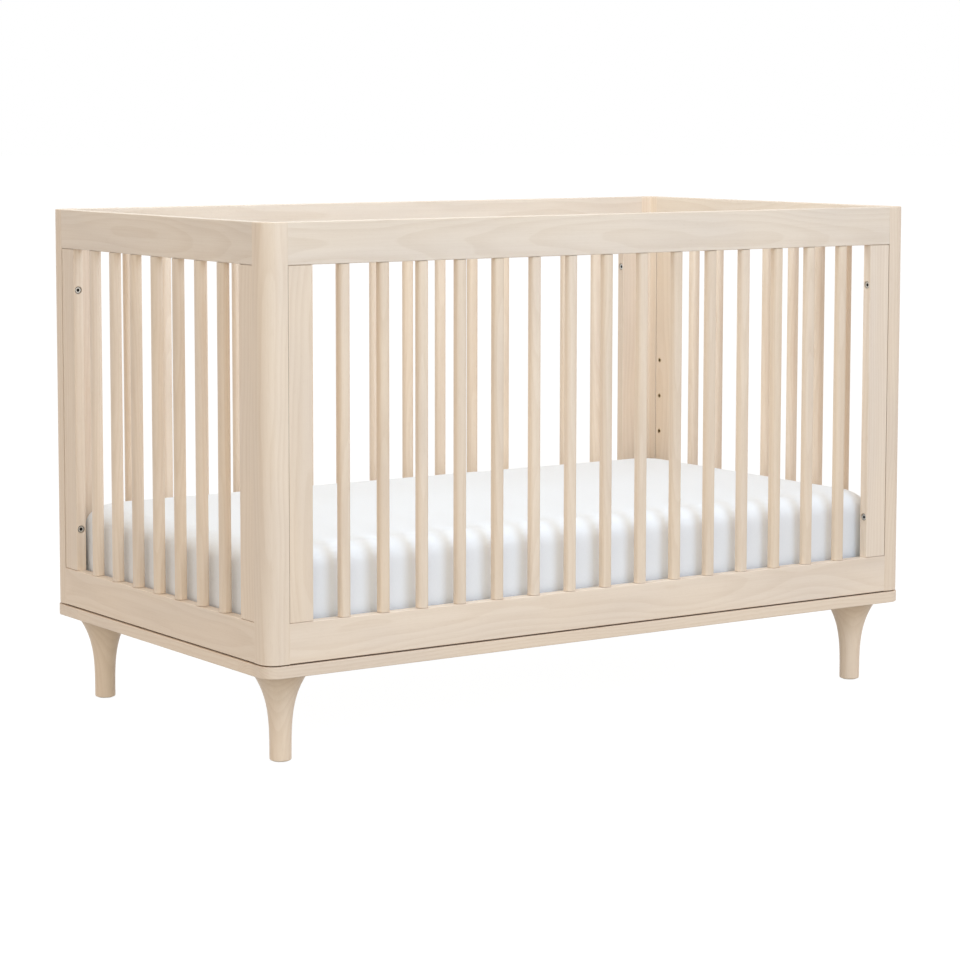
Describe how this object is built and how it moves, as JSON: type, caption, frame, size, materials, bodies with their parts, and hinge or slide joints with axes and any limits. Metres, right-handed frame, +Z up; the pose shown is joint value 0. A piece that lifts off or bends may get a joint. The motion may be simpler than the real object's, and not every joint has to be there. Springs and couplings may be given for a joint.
{
  "type": "baby crib",
  "caption": "Full-size wooden baby crib with fixed slatted sides, turned legs, a height-adjustable sprung mattress support and a mattress in a fitted sheet.",
  "frame": {"origin": "on the floor, under the middle of the crib", "axes": "+X along the long side towards the right end, +Y across it towards the rear side, +Z up"},
  "size_m": [1.368, 0.763, 0.884],
  "materials": {
    "washed_wood": "pale washed hardwood with fine grain under a matt clear coat",
    "dowel_wood": "plain fluted beech",
    "bolt_steel": "zinc-plated steel",
    "insert_steel": "yellow-passivated steel",
    "support_steel": "light grey powder coat",
    "glide_nylon": "off-white nylon",
    "mattress_ticking": "white quilted ticking",
    "sheet_cotton": "white plain-weave cotton"
  },
  "bodies": {
    "crib": {"base_screws": "bolt_steel", "base_spacer_strips": "washed_wood", "end_panel_bolts": "bolt_steel", "end_post_inserts": "insert_steel", "end_rail_dowels": "dowel_wood", "foot_glides": "glide_nylon", "front_base_board": "washed_wood", "front_bottom_rail": "washed_wood", "front_left_leg": "washed_wood", "front_left_post": "washed_wood", "front_left_stile": "washed_wood", "front_right_leg": "washed_wood", "front_right_post": "washed_wood", "front_right_stile": "washed_wood", "front_slats": "washed_wood", "front_top_rail": "washed_wood", "left_base_board": "washed_wood", "left_bottom_rail": "washed_wood", "left_front_stile": "washed_wood", "left_rear_stile": "washed_wood", "left_slats": "washed_wood", "left_top_rail": "washed_wood", "leg_bolts": "bolt_steel", "leg_inserts": "insert_steel", "long_panel_bolts": "bolt_steel", "long_post_inserts": "insert_steel", "long_rail_dowels": "dowel_wood", "rear_base_board": "washed_wood", "rear_bottom_rail": "washed_wood", "rear_left_leg": "washed_wood", "rear_left_post": "washed_wood", "rear_left_stile": "washed_wood", "rear_right_leg": "washed_wood", "rear_right_post": "washed_wood", "rear_right_stile": "washed_wood", "rear_slats": "washed_wood", "rear_top_rail": "washed_wood", "right_base_board": "washed_wood", "right_bottom_rail": "washed_wood", "right_front_stile": "washed_wood", "right_rear_stile": "washed_wood", "right_slats": "washed_wood", "right_top_rail": "washed_wood", "support_inserts": "insert_steel"},
    "mattress_support": {"front_left_hanger": "support_steel", "front_right_hanger": "support_steel", "hanger_bolts": "bolt_steel", "hanger_rivets": "support_steel", "rear_left_hanger": "support_steel", "rear_right_hanger": "support_steel", "support_cross_wires": "support_steel", "support_front_rail": "support_steel", "support_left_rail": "support_steel", "support_long_wires": "support_steel", "support_rear_rail": "support_steel", "support_right_rail": "support_steel", "support_springs": "support_steel"},
    "mattress": {"mattress": "mattress_ticking", "fitted_sheet": "sheet_cotton"}
  },
  "joints": [
    {"name": "support_height", "type": "slide", "parent": "crib", "child": "mattress_support", "axis": [0, 0, 1], "range_m": [0, 0.2184]},
    {"name": "mattress_lift", "type": "slide", "parent": "mattress_support", "child": "mattress", "axis": [0, 0, 1], "range_m": [0, 0.69]}
  ]
}
